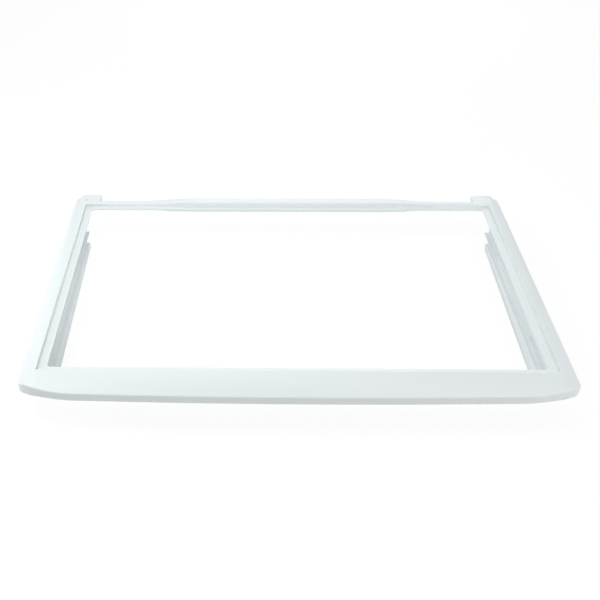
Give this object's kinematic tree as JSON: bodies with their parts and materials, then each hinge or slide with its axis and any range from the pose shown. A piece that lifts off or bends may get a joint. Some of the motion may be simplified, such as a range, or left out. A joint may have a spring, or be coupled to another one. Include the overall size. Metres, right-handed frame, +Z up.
{
  "type": "refrigerator shelf frame",
  "caption": "White moulded frame of a refrigerator shelf: broad bowed front rail, recessed ledge for a pane, tabs at the rear and a drawer runner under each side.",
  "frame": {"origin": "centre of the bounding box's base, level with the lowest edge of the drawer runners", "axes": "+X to the user's right, +Y from the front rail to the rear tabs, +Z up"},
  "size_m": [0.68, 0.4644, 0.0628],
  "materials": {
    "shelf_plastic": "satin white injection-moulded plastic, slightly cool"
  },
  "bodies": {
    "root": {"shelf_frame": "shelf_plastic"}
  },
  "joints": []
}
